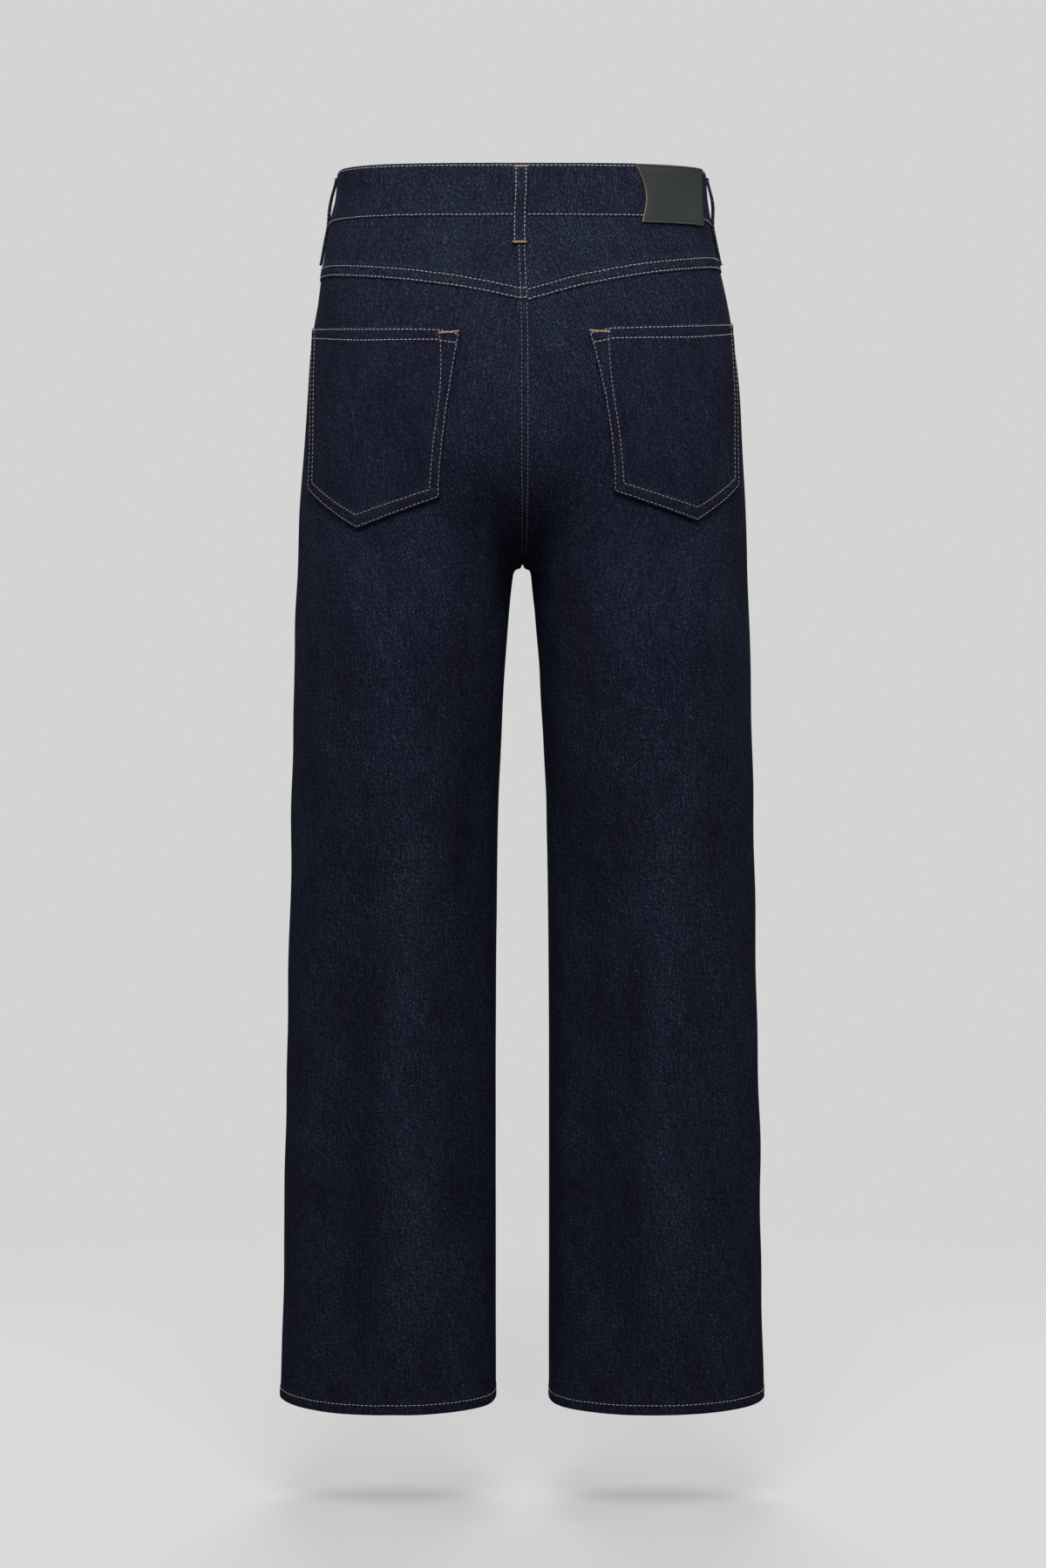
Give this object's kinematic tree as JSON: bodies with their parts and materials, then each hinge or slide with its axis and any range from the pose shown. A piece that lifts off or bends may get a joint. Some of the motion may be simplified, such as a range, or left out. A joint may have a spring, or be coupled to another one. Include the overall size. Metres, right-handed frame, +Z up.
{
  "type": "cropped straight-leg jeans",
  "caption": "High-waisted cropped straight-leg jeans in dark rinsed denim, filled out and open at waist and hems, with patch pockets and a blank leather patch.",
  "frame": {"origin": "the middle of the waist opening, level with the middle of the waistband at the centre back", "axes": "+Z up along the garment, -Y to the wearer's front, +X to the wearer's left"},
  "size_m": [0.3836, 0.222, 0.966],
  "materials": {
    "denim": "dark rinsed indigo denim, right-hand twill, matt",
    "thread": "ecru cotton topstitching",
    "bar_thread": "orange-gold bar tacks",
    "patch_leather": "smooth dark green leather with a raw tan edge",
    "button_metal": "antique copper, brushed dome"
  },
  "bodies": {
    "root": {"waistband": "denim", "yoke_left": "denim", "yoke_right": "denim", "back_left": "denim", "back_right": "denim", "front_left": "denim", "front_right": "denim", "back_pocket_left": "denim", "back_pocket_right": "denim", "pocket_facing_left": "denim", "pocket_facing_right": "denim", "fly_shield": "denim", "belt_loop_back": "denim", "belt_loop_side_left": "denim", "belt_loop_side_right": "denim", "belt_loop_front_left": "denim", "belt_loop_front_right": "denim", "patch": "patch_leather", "button": "button_metal"}
  },
  "joints": []
}
